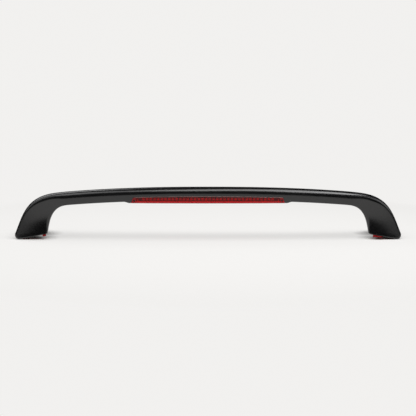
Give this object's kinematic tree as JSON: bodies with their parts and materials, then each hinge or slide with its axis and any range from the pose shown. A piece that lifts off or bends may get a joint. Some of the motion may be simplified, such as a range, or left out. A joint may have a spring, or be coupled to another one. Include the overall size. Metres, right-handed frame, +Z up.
{
  "type": "car rear spoiler",
  "caption": "Boot-lid spoiler: an arched hollow blade that turns down into two raked feet, with a red LED brake lamp set in its lower rear edge.",
  "frame": {"origin": "on the floor under the middle of the spoiler, which stands on the outer edges of its feet", "axes": "+X across the car to the right as seen from behind, +Y to the front of the car, +Z up; the lamp looks along -Y"},
  "size_m": [1.2244, 0.2144, 0.168],
  "materials": {
    "body_black": "satin black, fine moulded grain",
    "housing_grey": "matt light grey",
    "gasket_foam": "closed-cell foam",
    "board": "dark green solder mask",
    "led_epoxy": "water-clear epoxy",
    "bright_steel": "zinc plated",
    "brass": "machined",
    "lens_red": "polished, see-through red",
    "black_steel": "black oxide",
    "nylon": "natural nylon",
    "rubber": "matt",
    "tape_foam": "grey acrylic foam",
    "liner_red": "thin red release film"
  },
  "bodies": {
    "root": {"spoiler_body": "body_black", "lamp_housing": "housing_grey", "lamp_gasket": "gasket_foam", "led_board": "board", "leds": "led_epoxy", "board_screws": "bright_steel", "lamp_terminals": "brass", "lamp_lens": "lens_red", "lamp_screws": "black_steel", "screw_grommets": "nylon", "mount_inserts": "brass", "wire_grommet": "rubber", "right_rear_tape": "tape_foam", "right_front_tape": "tape_foam", "left_rear_tape": "tape_foam", "left_front_tape": "tape_foam", "right_rear_liner": "liner_red", "right_front_liner": "liner_red", "left_rear_liner": "liner_red", "left_front_liner": "liner_red"}
  },
  "joints": []
}
